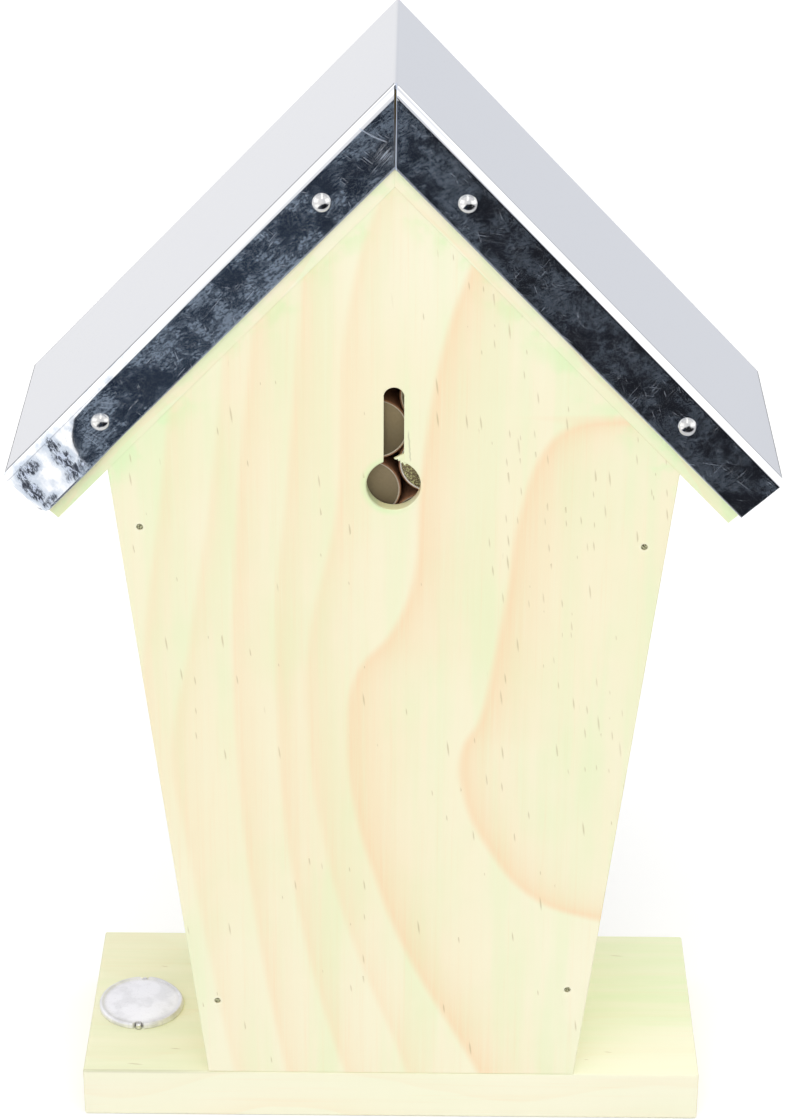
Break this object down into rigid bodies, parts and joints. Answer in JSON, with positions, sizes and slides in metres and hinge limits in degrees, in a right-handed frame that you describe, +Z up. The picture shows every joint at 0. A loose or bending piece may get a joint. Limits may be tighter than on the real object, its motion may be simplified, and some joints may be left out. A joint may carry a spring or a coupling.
{
  "type": "bee house",
  "caption": "Small pine bee house: tapered body packed with card nesting tubes, folded polished steel roof, keyhole for hanging in the back board",
  "frame": {"origin": "centre of the underside of the base board", "axes": "+Z up; -Y is the open front with the tube mouths; +Y is the back with the keyhole; X runs across the house"},
  "size_m": [0.1712, 0.0642, 0.264],
  "materials": {
    "pine_base": "planed, pale green preservative",
    "pine_back": "thin board, pale green preservative",
    "pine_wall": "planed, pale green preservative",
    "pine_roof": "sawn, pale green preservative",
    "polished_steel": "polished, with fine scratches",
    "bright_nails": "polished",
    "plain_brads": "dull",
    "badge_metal": "satin",
    "card": "rolled kraft card"
  },
  "bodies": {
    "root": {"base_board": "pine_base", "back_board": "pine_back", "left_side_wall": "pine_wall", "right_side_wall": "pine_wall", "left_roof_board": "pine_roof", "right_roof_board": "pine_roof", "roof_sheet": "polished_steel", "rear_roof_nails": "bright_nails", "front_roof_nails": "bright_nails", "back_board_nails": "plain_brads", "base_nails": "plain_brads", "badge_disc": "badge_metal", "badge_pins": "badge_metal", "tube_layer_01": "card", "tube_layer_02": "card", "tube_layer_03": "card", "tube_layer_04": "card", "tube_layer_05": "card", "tube_layer_06": "card", "tube_layer_07": "card", "tube_layer_08": "card", "tube_layer_09": "card", "tube_layer_10": "card", "tube_layer_11": "card", "tube_layer_12": "card"}
  },
  "joints": []
}
